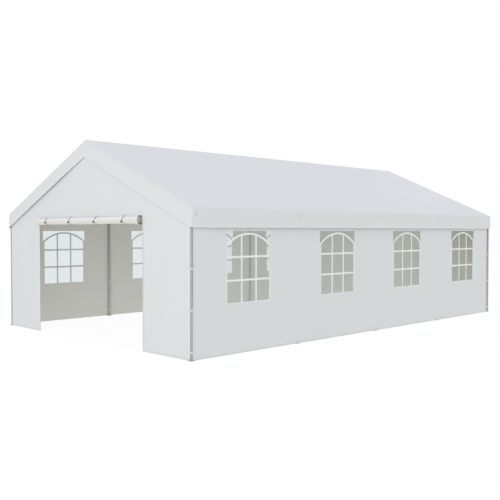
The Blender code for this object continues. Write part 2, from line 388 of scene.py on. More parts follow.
# %% Steel, plastic and cord
def metal(name, dark, light, crystal_scale, roughness, metallic):
    """Zinc-coated steel with its patchwork of crystals."""
    finish, tree, shader = finish_named(name)
    place = node(tree, "ShaderNodeTexCoord").outputs["Object"]
    crystals = node(tree, "ShaderNodeTexVoronoi", scale=crystal_scale)
    tree.links.new(place, crystals.inputs["Vector"])
    patch = node(tree, "ShaderNodeSeparateColor")
    tree.links.new(crystals.outputs["Color"], patch.inputs[0])
    stain = node(tree, "ShaderNodeTexNoise", scale=6.0, detail=4.0)
    tree.links.new(place, stain.inputs["Vector"])
    share = calc(tree, "ADD", calc(tree, "MULTIPLY", patch.outputs[0], 0.6),
                 calc(tree, "MULTIPLY", stain.outputs["Fac"], 0.4))
    tree.links.new(blend_colours(tree, share, dark, light), shader.inputs["Base Color"])
    tree.links.new(map_to(tree, share, roughness - 0.08, roughness + 0.08), shader.inputs["Roughness"])
    bump = node(tree, "ShaderNodeBump", strength=0.15, distance=0.0004)
    tree.links.new(stain.outputs["Fac"], bump.inputs["Height"])
    tree.links.new(bump.outputs[0], shader.inputs["Normal"])
    shader.inputs["Metallic"].default_value = metallic
    return finish


def moulded(name, light, dark, roughness):
    """Moulded plastic with a faint orange-peel skin."""
    finish, tree, shader = finish_named(name)
    place = node(tree, "ShaderNodeTexCoord").outputs["Object"]
    cloud = node(tree, "ShaderNodeTexNoise", scale=40.0, detail=3.0)
    tree.links.new(place, cloud.inputs["Vector"])
    tree.links.new(blend_colours(tree, cloud.outputs["Fac"], dark, light), shader.inputs["Base Color"])
    tree.links.new(map_to(tree, cloud.outputs["Fac"], roughness - 0.05, roughness + 0.05),
                   shader.inputs["Roughness"])
    skin = node(tree, "ShaderNodeTexNoise", scale=900.0, detail=1.0)
    tree.links.new(place, skin.inputs["Vector"])
    bump = node(tree, "ShaderNodeBump", strength=0.2, distance=0.0002)
    tree.links.new(skin.outputs["Fac"], bump.inputs["Height"])
    tree.links.new(bump.outputs[0], shader.inputs["Normal"])
    return finish


steel = metal("galvanised_tube", (0.345, 0.345, 0.36), (0.50, 0.50, 0.515), 90.0, 0.46, 0.6)
bright_steel = metal("zinc_fastening", (0.55, 0.55, 0.56), (0.70, 0.70, 0.71), 220.0, 0.34, 0.6)
plate_steel = metal("foot_plate_zinc", (0.60, 0.60, 0.60), (0.74, 0.74, 0.74), 60.0, 0.55, 0.25)
ball_dark = moulded("tie_ball_plastic", (0.060, 0.058, 0.052), (0.040, 0.039, 0.035), 0.42)
zip_plastic = moulded("zip_plastic", (0.68, 0.69, 0.69), (0.62, 0.63, 0.63), 0.40)
elastic_white = sheeting("elastic_white", (0.67, 0.68, 0.68), (0.60, 0.61, 0.61), 0.65)
# Painted shadow: the tie cord is dark grey for the thin shadow its strands cast on the roll.
tie_cord_shaded = sheeting("tie_cord_shaded", (0.36, 0.36, 0.37), (0.30, 0.30, 0.31), 0.65)
print("finishes so far:", len(bpy.data.materials))

# %% [markdown]
# ## The cover
# On the real object the cover is one sheet with its gable ends and corners sewn, so it is made
# as one piece. An open box as tall as the valance is cut along the middle, and the middle is
# lifted to the ridge: that gives both slopes, both side valances and both gable valances at
# once. Rounding the folds with a bevel comes next, while there are only a few edges to pick.
# The ridge is rounded last, by very little, so that it still lies over the ridge fittings.

# %% Shape the cover from a box
FOLD_ROUND = 0.024
RIDGE_ROUND = 0.006
NEAR_MIDDLE = 1e-4


def is_fold(a, b):
    """True for the edges where slope meets valance, and for the upright corners."""
    upright = abs(a.x - b.x) < 1e-4 and abs(a.y - b.y) < 1e-4
    on_gable = abs(a.y - b.y) < 1e-4 and min(a.z, b.z) > EAVE_Z - 1e-3
    on_eave = abs(a.x - b.x) < 1e-4 and min(a.z, b.z) > EAVE_Z - 1e-3 and abs(a.x) > 1.0
    return (upright and abs(a.x) > 1.0) or on_gable or on_eave


def is_ridge(a, b):
    return abs(a.x) + abs(b.x) < NEAR_MIDDLE and min(a.z, b.z) > RIDGE_Z - 0.1


cover = begin(
    "cover",
    bpy.ops.mesh.primitive_cube_add,
    (0.0, (COVER_FRONT + COVER_BACK) / 2, (HEM_Z + EAVE_Z) / 2),
    (2 * FOLD_X, COVER_BACK - COVER_FRONT, EAVE_Z - HEM_Z),
    finishes=(roof_painted_skylight, inner_painted_warm_light, valance_white, inner_painted_warm_light, valance_hem, inner_painted_warm_light),
    size=1.0,
)
pick(cover, "FACE", lambda middle, normal: normal.z < -0.5)
bpy.ops.mesh.delete(type="FACE")
cut(cover, (1, 0, 0), [0.0])
pick(cover, "VERT", lambda point: abs(point.x) < NEAR_MIDDLE)
bpy.ops.transform.translate(value=(0.0, 0.0, RIDGE_Z - EAVE_Z))
folds = pick(cover, "EDGE", is_fold)
bpy.ops.mesh.bevel(offset=FOLD_ROUND, segments=4, profile=0.5, affect="EDGES")
ridge_edges = pick(cover, "EDGE", is_ridge)
bpy.ops.mesh.bevel(offset=RIDGE_ROUND, segments=2, affect="EDGES")
print("folds rounded:", folds, "ridge edges:", ridge_edges,
      "faces now:", len(bmesh.from_edit_mesh(cover.data).faces))

# %% [markdown]
# A taut sheet still needs enough points to sag a little between the arches and to wave a
# little at its hem, so the box is now cut into a fine net, finer where the steel presses
# against it. The hem is a double band: its faces are pushed out by one more layer.

# %% Cut the cover into a net and raise its hem
COVER_STEP = 0.135
HEM_BAND = 0.032
HEM_PROUD = 0.0009
BUMP_DROP = 0.080
BUMP_CUTS_ALONG = (-0.06, -0.036, -0.022, -0.011, 0.0, 0.011, 0.022, 0.036, 0.06)
BUMP_CUTS_DOWN = (0.026, 0.045, 0.060, 0.072, 0.084, 0.097, 0.115)
PRESSED_LINES = [FRONT + 0.058, *ARCHES[1:4], BACK - 0.058]


def hem_line(x):
    """Height of the cover's lower edge at x on the gables."""
    return HEM_Z + (FOLD_X - abs(x)) * SLOPE


def on_side_valance(place, normal):
    return abs(normal.x) > 0.9


def on_gable_valance(place, normal):
    return abs(normal.y) > 0.9


def in_hem(place, normal):
    low = hem_line(place.x) if abs(normal.y) > 0.5 else HEM_Z
    return abs(normal.z) < 0.3 and place.z < low + HEM_BAND


bump_lines = [line + step for line in PRESSED_LINES for step in BUMP_CUTS_ALONG]
bump_lines = [y for y in bump_lines if COVER_FRONT + FOLD_ROUND < y < COVER_BACK - FOLD_ROUND]
cut(cover, (0, 1, 0), stations(COVER_FRONT, COVER_BACK, COVER_STEP) + bump_lines)
cut(cover, (1, 0, 0), stations(-FOLD_X, FOLD_X, COVER_STEP))
cut(cover, (0, 0, 1), [EAVE_Z - drop for drop in BUMP_CUTS_DOWN], on_side_valance)
cut(cover, (0, 0, 1), [HEM_Z + HEM_BAND, HEM_Z + 0.07, HEM_Z + 0.10], on_side_valance)
for side in (-1, 1):
    square = Vector((side * SLOPE, 0.0, 1.0)).normalized()
    for depth in (HEM_BAND, 0.09, 0.15):
        pick(cover, "FACE", lambda c, n: on_gable_valance(c, n) and c.x * side > 0)
        bpy.ops.mesh.bisect(plane_co=(side * FOLD_X, 0.0, HEM_Z + depth), plane_no=square)
# Faces that look up keep the roof finish and its painted sky light; the rest get the valance finish.
pick(cover, "FACE", lambda c, n: n.z < 0.80)
cover.active_material_index = 2
bpy.ops.object.material_slot_assign()
hem_faces = raise_hem(cover, 4, in_hem)
print("faces in the hem:", hem_faces)

# %% [markdown]
# The last shaping is by moving points. Each rule below is one thing that the sheet does on the
# frame: it sags between the arches, the valance stands off the wall at its hem except at the
# corners, and the ends of the eave fittings press a bump into the valance right under the fold.
# The same places get painted shade, a grey patch on each bump, through an attribute.

# %% Let the cover hang on its frame
SAG = 0.007
HEM_DROP = 0.010
BUMP_OUT = 0.0055
BUMP_HALF_WIDTH = 0.020
BUMP_HALF_HEIGHT = 0.030
SIDE_FLARE = {-1: -0.005, 1: 0.023}
GABLE_FLARE = {-1: 0.020, 1: 0.006}
# How strong the painted shade is at each pressed line, from front to back.
PRESSED_SHADE_STRENGTHS = (1.0, 0.8, 0.35, 0.0, 0.3)


def slack(y):
    """How free the sheet is at y: 0 at an arch and 1 half-way between two."""
    for start, end in zip(ARCHES, ARCHES[1:]):
        if start <= y <= end:
            return math.sin(math.pi * (y - start) / (end - start)) ** 2
    return 0.0


def pressed(point):
    """How hard the nearest eave fitting presses a place on the side valance, from 0 to 1."""
    if abs(point.x) < FOLD_X - 0.03 or point.z > EAVE_Z:
        return 0.0
    along = min(abs(line - point.y) for line in PRESSED_LINES) / BUMP_HALF_WIDTH
    down = (EAVE_Z - BUMP_DROP - point.z) / BUMP_HALF_HEIGHT
    return math.exp(-along * along - down * down)


def pressed_shade_at(point):
    """How much painted shade a place gets on a bump. It is weaker at the fittings further back."""
    steps = [abs(line - point.y) for line in PRESSED_LINES]
    return pressed(point) * PRESSED_SHADE_STRENGTHS[steps.index(min(steps))]


def hang(point):
    """How far a point of the cover moves from its straight place."""
    x, y, z = point
    across = min(abs(x) / FOLD_X, 1.0)
    sideways = 1 if x > 0 else -1
    shift = Vector()
    if z > EAVE_Z + 0.004 and COVER_FRONT + 0.05 < y < COVER_BACK - 0.05:
        shift.z -= SAG * slack(y) * math.sin(math.pi * across) ** 0.8
    if abs(x) > FOLD_X - 0.03 and z < EAVE_Z:
        depth = (EAVE_Z - z) / (EAVE_Z - HEM_Z)
        from_corner = 1.0 - math.exp(-((y - COVER_FRONT) / 0.4) ** 2)
        from_corner -= 0.5 * math.exp(-((y - COVER_BACK) / 0.5) ** 2)
        wave = noise.noise(Vector((sideways * 5.0, y * 1.3, 0.4))) * 0.004
        shift.x += sideways * (depth * (SIDE_FLARE[sideways] * from_corner + wave) + BUMP_OUT * pressed(point))
        shift.z -= HEM_DROP * depth
    if y < COVER_FRONT + 0.02 or y > COVER_BACK - 0.02:
        outward = -1.0 if y < 0 else 1.0
        depth = min(max((hem_line(x) + 0.25 - z) / 0.25, 0.0), 1.0)
        belly = math.sin(math.pi * across) ** 0.6
        if x < 0 and across > 0.5:
            belly = 1.0 - 0.5 * (2.0 * across - 1.0) ** 2
        wave = noise.noise(Vector((x * 1.1, outward * 3.0, 0.9))) * 0.005
        shift.y += outward * depth * belly * (GABLE_FLARE[sideways] + wave)
        shift.z = -HEM_DROP * depth
    return shift


def write_hem(piece, rule):
    """Writes how far along its hem, and how far in from its edge, each point lies."""
    values = piece.data.attributes.new("hem", "FLOAT_VECTOR", "POINT")
    for point, value in zip(piece.data.vertices, values.data):
        value.vector = (*rule(point.co), 0.0)


def cover_hem(point):
    if point.y < COVER_FRONT + 0.01 or point.y > COVER_BACK - 0.01:
        return point.x / math.cos(PITCH), (point.z - hem_line(point.x)) * math.cos(PITCH)
    return point.y, point.z - HEM_Z


bpy.ops.object.mode_set(mode="OBJECT")
write_hem(cover, cover_hem)
pressed_shade = cover.data.attributes.new("pressed_shade", "FLOAT", "POINT")
for point, value in zip(cover.data.vertices, pressed_shade.data):
    value.value = pressed_shade_at(point.co)
moves = [hang(point.co) for point in cover.data.vertices]
for point, move in zip(cover.data.vertices, moves):
    point.co += move
thicken(cover, 0.0012)
dress(cover)
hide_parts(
    "roof_left", "roof_right", "left_valance", "right_valance", "front_valance", "back_valance"
)

# %% [markdown]
# ## The long walls
# Each long wall is one sheet that hangs outside the posts, with four openings. A plane is cut
# along the edges of the windows, the faces in the windows are deleted, and the rest is cut
# finer so that it can billow by a few millimetres. The film and its print follow the same
# billow, so that is a function they share.

# %% Hang the long walls
WALL_OUT = 2.5244
WALL_SHEET = 0.0012
WALL_LOW, WALL_HIGH = 0.004, 1.955
WALL_START, WALL_END = (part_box("right_wall")[i][1] for i in (0, 1))
WINDOW_START = {"left": 0.6537, "right": 0.619}
WINDOW_PITCH = 1.991
WINDOW_WIDTH = 0.82
WINDOW_LOW, WINDOW_HIGH = 0.7105, 1.6946
SIDE_BORDER = 0.030
FOOT_BORDER = 0.018
SPRING_Z = 1.505
WALL_STEP = 0.14


def windows(side):
    """First and last y of each window in one long wall."""
    first = FRONT + WINDOW_START[side]
    return [(first + i * WINDOW_PITCH, first + i * WINDOW_PITCH + WINDOW_WIDTH) for i in range(4)]


def billow(y, z, seed):
    """How far a wall stands out from its flat place."""
    slow = noise.noise(Vector((y * 0.9, z * 0.5, seed)))
    upright = noise.noise(Vector((y * 3.1, z * 0.45, seed + 4.0)))
    low = max(0.0, 1.0 - z / 0.5)
    return 0.0018 * slow + 0.0010 * upright + 0.003 * low * upright


def in_opening(side, y, z):
    """True inside an opening, which is wider above the springing of the printed arch."""
    wider = SIDE_BORDER if z > SPRING_Z else 0.0
    return WINDOW_LOW < z < WINDOW_HIGH and any(
        low - wider < y < high + wider for low, high in windows(side)
    )


def billow_wall(piece, side):
    bpy.ops.object.mode_set(mode="OBJECT")
    for point in piece.data.vertices:
        point.co.x += SIDES[side] * billow(point.co.y, point.co.z, SIDES[side] * 7.0)


def nearest_hem(along, height, edges):
    """Along and in from the nearest of a sheet's lower and upright edges."""
    choices = [(height - WALL_LOW, along)] + [(abs(along - edge), height) for edge in edges]
    depth, run = min(choices)
    return run, depth


walls = {}
for side, sign in SIDES.items():
    wall = begin(
        f"{side}_long_wall",
        bpy.ops.mesh.primitive_plane_add,
        (sign * WALL_OUT, (WALL_START + WALL_END) / 2, (WALL_LOW + WALL_HIGH) / 2),
        (WALL_HIGH - WALL_LOW, WALL_END - WALL_START, 1.0),
        (0.0, sign * QUARTER, 0.0),
        (wall_white, inner_painted_warm_light, wall_hem_shaded, inner_painted_warm_light),
        size=1.0,
    )
    edges = [
        edge for low, high in windows(side) for edge in (low - SIDE_BORDER, low, high, high + SIDE_BORDER)
    ]
    levels = [HEM_BAND, WINDOW_LOW, SPRING_Z, WINDOW_HIGH, WALL_HIGH]
    cut(wall, (0, 1, 0), edges)
    cut(wall, (0, 0, 1), levels[:-1])
    pick(wall, "FACE", lambda c, n: in_opening(side, c.y, c.z))
    bpy.ops.mesh.delete(type="FACE")
    marks = [WALL_START, WALL_START + HEM_BAND, *edges, WALL_END - HEM_BAND, WALL_END]
    cut(wall, (0, 1, 0), marks[1:2] + marks[-2:-1])
    for start, end in zip(marks, marks[1:]):
        cut(wall, (0, 1, 0), stations(start, end, WALL_STEP))
    for start, end in zip(levels, levels[1:]):
        cut(wall, (0, 0, 1), stations(start, end, WALL_STEP))
    raise_hem(
        wall, 2, lambda c, n: c.z < HEM_BAND or not WALL_START + HEM_BAND < c.y < WALL_END - HEM_BAND
    )
    bpy.ops.object.mode_set(mode="OBJECT")
    write_hem(wall, lambda point: nearest_hem(point.y, point.z, (WALL_START, WALL_END)))
    billow_wall(wall, side)
    thicken(wall, WALL_SHEET)
    walls[side] = dress(wall)
    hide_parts(f"{side}_wall")
print("long walls:", [len(wall.data.polygons) for wall in walls.values()], "faces")

# %% [markdown]
# ## The windows
# A window is clear film welded edge to edge into the opening. The white bars, the arch and the frame round them are
# printed on its outside, and the film is left clear above the arch. Seen through the doorway, the print is therefore
# grey against the light. The film gets a plain see-through amount, with a slow wave in its gloss. Its outer face is
# warm and its inner face blue, which is painted light, since the film itself is one clear sheet.

# %% Finishes of the film and its print
def clear_film(name, tint):
    """One face of the film: mostly see-through, with a slow wave in its gloss and a colour of painted light."""
    finish, tree, shader = finish_named(name)
    shader.inputs["Base Color"].default_value = (*tint, 1.0)
    shader.inputs["Alpha"].default_value = 0.181
    shader.inputs["Specular IOR Level"].default_value = 0.35
    place = node(tree, "ShaderNodeTexCoord").outputs["Object"]
    wave = node(tree, "ShaderNodeTexNoise", scale=4.0, detail=2.0)
    tree.links.new(place, wave.inputs["Vector"])
    bump = node(tree, "ShaderNodeBump", strength=0.5, distance=0.004)
    tree.links.new(wave.outputs["Fac"], bump.inputs["Height"])
    tree.links.new(bump.outputs[0], shader.inputs["Normal"])
    tree.links.new(map_to(tree, wave.outputs["Fac"], 0.06, 0.16), shader.inputs["Roughness"])
    return finish


# Painted light: warm on the outer face, blue on the inner face.
film_outside = clear_film("clear_film_outside", (0.60, 0.42, 0.17))
film_inside = clear_film("clear_film_inside", (0.28, 0.70, 1.0))
print_white = sheeting("print_white", (0.775, 0.78, 0.765), (0.74, 0.745, 0.73), 0.35)
border_white = sheeting("border_white", (0.690, 0.708, 0.712), (0.660, 0.680, 0.686), 0.40)
print("film lets through", round((1 - 0.181) ** 2, 2))

# %% [markdown]
# The print is drawn as a flat curve, one outline for its outer edge and one for each clear
# pane, because a curve fills between its outlines. The outer edge follows the arch.

# %% Draw the outlines of the print
FILM_OUT = 2.5241
PRINT_OUT = 2.5252
PRINT_SHEET = 0.0005
FILM_OVERLAP = 0.001
BAR = 0.028
BAR_LINES = {"left": (0.2659, 0.5484), "right": (0.2716, 0.5541)}
BAR_HEIGHTS = (1.0159, 1.3377)
ARCH_RADIUS = 0.63
ARCH_TOP = 1.657
ARCH_POINTS = 24
PRINT_LAP = 0.003


def arch_height(across, offset):
    """Height of the printed arch's inner or outer line, at a distance along the window."""
    radius = ARCH_RADIUS + offset
    run = across - WINDOW_WIDTH / 2
    return ARCH_TOP - ARCH_RADIUS + math.sqrt(radius * radius - run * run)


def between(start, end, count):
    return [start + (end - start) * i / (count - 1) for i in range(count)]


def frame_outline():
    """The print's outer edge: up both sides of the window and over the arch."""
    left, right = -SIDE_BORDER - PRINT_LAP, WINDOW_WIDTH + SIDE_BORDER + PRINT_LAP
    foot = WINDOW_LOW - FOOT_BORDER - PRINT_LAP
    over = [(along, arch_height(along, BAR / 2)) for along in between(right, left, ARCH_POINTS)]
    return [(left, foot), (right, foot), *over]


def pane_outlines(side):
    """The clear places of the print, as (along, height) outlines."""
    half = BAR / 2
    first, second = BAR_LINES[side]
    columns = [(0.0, first - half), (first + half, second - half), (second + half, WINDOW_WIDTH)]
    rows = [(WINDOW_LOW, BAR_HEIGHTS[0] - half), (BAR_HEIGHTS[0] + half, BAR_HEIGHTS[1] - half)]
    outlines = [
        [(left, low), (right, low), (right, high), (left, high)]
        for left, right in columns for low, high in rows
    ]
    for left, right in columns:
        top = [(along, arch_height(along, -half)) for along in between(right, left, ARCH_POINTS // 3)]
        low = BAR_HEIGHTS[1] + half
        outlines.append([(left, low), (right, low), *top])
    return outlines


print("clear panes in a window:", len(pane_outlines("left")))

# %% Cut out the print and set the panes
def flat_piece(name, outlines, start, out, side):
    """A flat shape with holes that lies on a long wall, made from a filled curve."""
    curve = bpy.data.curves.new(name, "CURVE")
    curve.dimensions = "2D"
    curve.fill_mode = "BOTH"
    for outline in outlines:
        spline = curve.splines.new("POLY")
        spline.points.add(len(outline) - 1)
        for point, (along, height) in zip(spline.points, outline):
            point.co = (along, height, 0.0, 1.0)
        spline.use_cyclic_u = True
    piece = bpy.data.objects.new(name, curve)
    bpy.context.scene.collection.objects.link(piece)
    bpy.ops.object.select_all(action="DESELECT")
    piece.select_set(True)
    bpy.context.view_layer.objects.active = piece
    bpy.ops.object.convert(target="MESH")
    piece = bpy.context.active_object
    for point in piece.data.vertices:
        along, height, _ = point.co
        y = start + along
        point.co = (SIDES[side] * (out + billow(y, height, SIDES[side] * 7.0)), y, height)
    bpy.ops.object.mode_set(mode="EDIT")
    bpy.ops.mesh.select_all(action="SELECT")
    bpy.ops.mesh.normals_make_consistent(inside=False)
    shape = bmesh.from_edit_mesh(piece.data)
    if sum(face.normal.x * face.calc_area() for face in shape.faces) * SIDES[side] < 0:
        bpy.ops.mesh.flip_normals()
    return piece


for side, sign in SIDES.items():
    parts = []
    for number, (start, end) in enumerate(windows(side), 1):
        name = f"{side}_window_{number}"
        pane = begin(
            f"{name}_pane",
            bpy.ops.mesh.primitive_grid_add,
            (sign * FILM_OUT, (start + end) / 2, (WINDOW_LOW + WINDOW_HIGH) / 2),
            (
                WINDOW_HIGH - WINDOW_LOW + 2 * FILM_OVERLAP,
                WINDOW_WIDTH + 2 * SIDE_BORDER + 2 * FILM_OVERLAP,
                1.0,
            ),
            (0.0, sign * QUARTER, 0.0),
            (film_outside, film_inside),
            size=1.0,
            x_subdivisions=9,
            y_subdivisions=8,
        )
        billow_wall(pane, side)
        thicken(pane, 0.0004)
        dress(pane)
        bars = flat_piece(f"{name}_print", [frame_outline(), *pane_outlines(side)], start, PRINT_OUT, side)
        bars.data.materials.append(print_white)
        bars.data.materials.append(border_white)
        cut(bars, (0, 1, 0), [start, end])
        cut(bars, (0, 0, 1), [WINDOW_LOW])
        pick(bars, "FACE", lambda c, n: c.z < WINDOW_LOW or not start < c.y < end)
        bars.active_material_index = 1
        bpy.ops.object.material_slot_assign()
        thicken(bars, PRINT_SHEET, backed=False)
        dress(bars)
        parts += [pane, bars]
    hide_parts(f"{side}_window_film")

# %% [markdown]
# ## The ends
# The front end is one sheet with a doorway cut in it, and the back end is the same with its
# door sheet zipped shut. A plane is cut along the doorway and along the slopes of the roof, and
# what lies above the slopes and in the doorway is deleted.

# %% Hang the end walls
DOOR_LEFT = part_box("front_panel_left")[1][0]
DOOR_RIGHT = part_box("front_panel_right")[0][0]
DOOR_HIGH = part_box("front_panel_left")[1][2]
END_SHEET_OUT = {-1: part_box("front_gable")[0][1], 1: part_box("back_wall")[1][1]}
END_SHEET_X = {
    -1: (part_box("front_gable")[0][0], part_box("front_gable")[1][0]),
    1: (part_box("back_wall")[0][0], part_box("back_wall")[1][0]),
}
END_STEP = 0.13
END_INSET = 0.0016
SLOPE_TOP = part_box("front_gable")[1][2] - 0.004


def ripple(x, z, seed):
    """How far an end wall stands out from its flat place: faint upright ripples."""
    upright = noise.noise(Vector((x * 5.5, z * 0.35, seed)))
    slow = noise.noise(Vector((x * 1.1, z * 0.7, seed + 2.0)))
    free = min(max((abs(x) - 1.0) * 2.0, 0.0), 1.0) if z < DOOR_HIGH else 1.0
    return (0.0013 * upright + 0.0018 * slow) * free


def beside_doorway(place, normal=None):
    return place.z > DOOR_HIGH or not DOOR_LEFT < place.x < DOOR_RIGHT


def in_end_hem(outward):
    """A test for the upright hems of an end sheet: its outer edges and the doorway's edges."""
    low_x, high_x = END_SHEET_X[outward]

    def test(place, normal):
        at_side = place.x < low_x + HEM_BAND or place.x > high_x - HEM_BAND
        at_door = place.z < DOOR_HIGH and (
            DOOR_LEFT - HEM_BAND < place.x < DOOR_LEFT or DOOR_RIGHT < place.x < DOOR_RIGHT + HEM_BAND
        )
        return (at_side or at_door) and place.z > HEM_BAND
    return test


def end_wall(name, outward):
    """A sheet across one end with its doorway, cut to the slopes above."""
    low_x, high_x = END_SHEET_X[outward]
    sheet = begin(
        name,
        bpy.ops.mesh.primitive_plane_add,
        ((low_x + high_x) / 2, END_SHEET_OUT[outward], (WALL_LOW + SLOPE_TOP) / 2),
        (high_x - low_x, SLOPE_TOP - WALL_LOW, 1.0),
        (-outward * QUARTER, 0.0, 0.0),
        (wall_white, inner_painted_warm_light, wall_hem_shaded, inner_painted_warm_light, bright_hem, inner_painted_warm_light),
        size=1.0,
    )
    for side in (-1, 1):
        bpy.ops.mesh.select_all(action="SELECT")
        square = Vector((side * SLOPE, 0.0, 1.0)).normalized()
        bpy.ops.mesh.bisect(plane_co=(0.0, 0.0, SLOPE_TOP), plane_no=square, clear_outer=True)
    cut(sheet, (1, 0, 0), [DOOR_LEFT, DOOR_RIGHT])
    cut(sheet, (0, 0, 1), [DOOR_HIGH])
    pick(sheet, "FACE", lambda c, n: not beside_doorway(c))
    bpy.ops.mesh.delete(type="FACE")
    marks = [low_x, low_x + HEM_BAND, DOOR_LEFT - HEM_BAND, DOOR_LEFT, DOOR_RIGHT,
             DOOR_RIGHT + HEM_BAND, high_x - HEM_BAND, high_x]
    for start, stop in zip(marks, marks[1:]):
        cut(sheet, (1, 0, 0), [start, *stations(start, stop, END_STEP)])
    cut(sheet, (0, 0, 1), [HEM_BAND, *stations(HEM_BAND, DOOR_HIGH, END_STEP)])
    cut(sheet, (0, 0, 1), stations(DOOR_HIGH, SLOPE_TOP, END_STEP))
    raise_hem(sheet, 2, lambda c, n: c.z < HEM_BAND)
    raise_hem(sheet, 4, in_end_hem(outward))
    bpy.ops.object.mode_set(mode="OBJECT")
    upright_edges = (low_x, DOOR_LEFT, DOOR_RIGHT, high_x)
    write_hem(sheet, lambda point: nearest_hem(point.x, point.z, upright_edges))
    for point in sheet.data.vertices:
        point.co.y += outward * (ripple(point.co.x, point.co.z, outward * 3.0) - END_INSET)
    thicken(sheet, WALL_SHEET)
    return dress(sheet)


front_wall = end_wall("front_wall", -1)
back_wall = end_wall("back_end_wall", 1)
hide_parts("front_gable", "front_panel_left", "front_panel_right")
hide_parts("back_wall")

# %% [markdown]
# The cover rests on the arches and its valance hangs in front of these walls.

print("cover rests on the arches")

# %% [markdown]
# ## The rolled door
# The door sheet hangs from the lower edge of the gable and is rolled up outwards, so the inner face shows on the
# roll. The roll's warm colour is painted warm light from below, and its lighter, bluer top is painted sky light. A
# flat grid is the door before it is rolled, and every point is then moved to its place on a spiral that starts at the
# top, goes down behind and comes up in front. The ties pinch the roll a little. At its right end the last turn has
# sprung open, which leaves a dark gap round the tight core.

# %% Roll up the door
ROLL_AXIS = middle("rolled_door")
ROLL_FROM, ROLL_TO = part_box("rolled_door")[0][0] - 0.055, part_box("rolled_door")[1][0] - 0.020
BODY_RADIUS = 0.0535
LOOSE_RADIUS = 0.0635
ROLL_CORE = 0.010
ROLL_TURNS = 8.8
ROLL_SHEET = 0.0009
DOOR_EDGE_PROUD = 0.0032
TIE_PLACES = (-1.150, -0.419, 0.312, 1.045)
LEAD_ROWS, TURN_ROWS, LENGTH_ROWS = 3, 24, 92
ROLL_ROWS = LEAD_ROWS + int(ROLL_TURNS * TURN_ROWS)
HEADER_Y = END_SHEET_OUT[-1] + END_INSET + WALL_SHEET + 0.0004
SHEET_GROWTH = (BODY_RADIUS - ROLL_CORE) / (ROLL_TURNS - 1.0)


def ease(value, start, end):
    """Goes smoothly from 0 to 1 as a value passes from start to end."""
    share = min(max((value - start) / (end - start), 0.0), 1.0)
    return share * share * (3.0 - 2.0 * share)


def roll_radius(along, turned):
    """Distance from the roll's axis after some turns, counted from the outermost."""
    if turned < 1.0:
        radius = BODY_RADIUS + 0.001 - 0.002 * turned
    else:
        radius = BODY_RADIUS - 0.001 - (turned - 1.0) * SHEET_GROWTH
    sprung = ease(along, ROLL_TO - 0.12, ROLL_TO - 0.01)
    outer_turn = ease(turned, 0.0, 0.2) * (1.0 - ease(turned, 0.92, 1.25))
    upright = math.cos(turned * math.tau) ** 2
    radius += sprung * outer_turn * upright * (LOOSE_RADIUS - BODY_RADIUS)
    return radius - sprung * ease(turned, 1.0, 1.3) * upright * 0.006


def roll_point(along, row):
    """Place of a point of the rolled sheet: along the roll, and rows from the header inwards."""
    turned = max(0.0, (row - LEAD_ROWS) / TURN_ROWS)
    angle = QUARTER - turned * math.tau
    outer = max(0.0, 1.0 - turned / ROLL_TURNS)
    radius = roll_radius(along, turned)
    pinch = min(1.0, sum(math.exp(-((along - tie) / 0.035) ** 2) for tie in TIE_PLACES))
    lump = noise.noise(Vector((along * 2.3, math.cos(angle) * 0.6, math.sin(angle) * 0.6)))
    radius += outer * (0.0030 * lump - 0.0035 * pinch)
    below = max(0.0, -math.sin(angle))
    left_sag = 0.007 * ease(-along, 1.20, 1.42)
    right_sag = 0.005 * ease(along, 1.15, 1.40)
    middle_sag = 0.004 * math.exp(-((along + 0.06) / 0.2) ** 2)
    droop = below * outer * (0.002 * (1.0 - pinch) + left_sag + right_sag + middle_sag)
    ragged = 0.006 * noise.noise(Vector((turned * 0.9, 3.3, 1.0 if along > 0 else 8.0)))
    near_end = ease(abs(along), 1.36, 1.42)
    y = ROLL_AXIS.y + radius * math.cos(angle)
    z = ROLL_AXIS.z + radius * math.sin(angle) - droop
    if row < LEAD_ROWS:
        share = row / LEAD_ROWS
        y = HEADER_Y + (y - HEADER_Y) * share ** 2
        z = z + (DOOR_HIGH + 0.012 - z) * (1.0 - share)
    return Vector((along - near_end * abs(ragged) * math.copysign(1.0, along), y, z))


roll = begin(
    "door_roll",
    bpy.ops.mesh.primitive_grid_add,
    (0.0, 0.0, 0.0),
    (ROLL_TO - ROLL_FROM, 1.0, 1.0),
    finishes=(roll_painted_light, wall_white),
    size=1.0,
    x_subdivisions=LENGTH_ROWS,
    y_subdivisions=ROLL_ROWS,
)
bpy.ops.object.mode_set(mode="OBJECT")
# How much painted sky light a point of the roll gets: none low on the roll, full over its top.
painted_top_light = roll.data.attributes.new("painted_top_light", "FLOAT", "POINT")
for point, value in zip(roll.data.vertices, painted_top_light.data):
    row = (point.co.y + 0.5) * ROLL_ROWS
    point.co = roll_point(point.co.x + (ROLL_FROM + ROLL_TO) / 2, row)
    value.value = ease((point.co.z - ROLL_AXIS.z) / BODY_RADIUS, -0.35, 0.75)
roll.data.update()
outermost = [face for face in roll.data.polygons if face.center.y < ROLL_AXIS.y - BODY_RADIUS * 0.94]
if sum(face.normal.y for face in outermost) > 0:
    roll.data.flip_normals()
bpy.ops.object.mode_set(mode="EDIT")
pick(roll, "FACE", lambda c, n: not ROLL_FROM + HEM_BAND < c.x < ROLL_TO - HEM_BAND)
bpy.ops.mesh.extrude_region_shrink_fatten(TRANSFORM_OT_shrink_fatten={"value": DOOR_EDGE_PROUD})
thicken(roll, ROLL_SHEET)
dress(roll, 60.0)
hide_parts("rolled_door")

# %% [markdown]
# ## The closed door at the back
# The back doorway is closed by the same door sheet, let down and zipped in. It hangs just
# inside the wall and overlaps it by a hand's width, with a hem along its foot.

